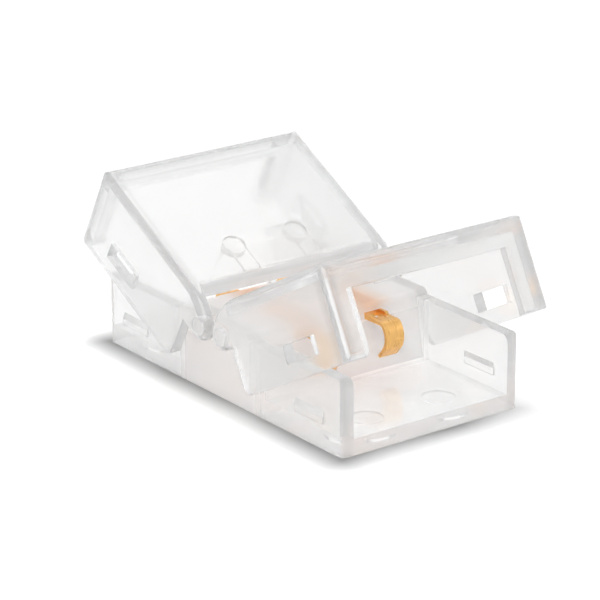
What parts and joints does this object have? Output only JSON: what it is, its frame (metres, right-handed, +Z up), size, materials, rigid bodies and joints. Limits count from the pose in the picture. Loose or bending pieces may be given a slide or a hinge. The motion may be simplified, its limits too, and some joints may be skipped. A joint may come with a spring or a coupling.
{
  "type": "led strip connector",
  "caption": "Clear snap-lid connector that joins two ends of a 10 mm LED strip through a middle block with gold spring contacts; both lids stand half open.",
  "frame": {"origin": "middle of the base's underside, which stands on the surface", "axes": "+Z up, +Y along the strip towards the rear lid, +X across the strip"},
  "size_m": [0.0144, 0.0262, 0.0111],
  "materials": {
    "clear_plastic": "clear, slightly milky, gloss",
    "gold_contact": "gold plated"
  },
  "bodies": {
    "base": {"base": "clear_plastic", "left_contact": "gold_contact", "right_contact": "gold_contact"},
    "front_lid": {"front_lid": "clear_plastic"},
    "rear_lid": {"rear_lid": "clear_plastic"}
  },
  "joints": [
    {"name": "front_lid_hinge", "type": "hinge", "parent": "base", "child": "front_lid", "pos_m": [0, -0.0011, 0.0042], "axis": [-1, 0, 0], "range_deg": [-28, 32]},
    {"name": "rear_lid_hinge", "type": "hinge", "parent": "base", "child": "rear_lid", "pos_m": [0, 0.0011, 0.0042], "axis": [1, 0, 0], "range_deg": [-28, 32]}
  ]
}
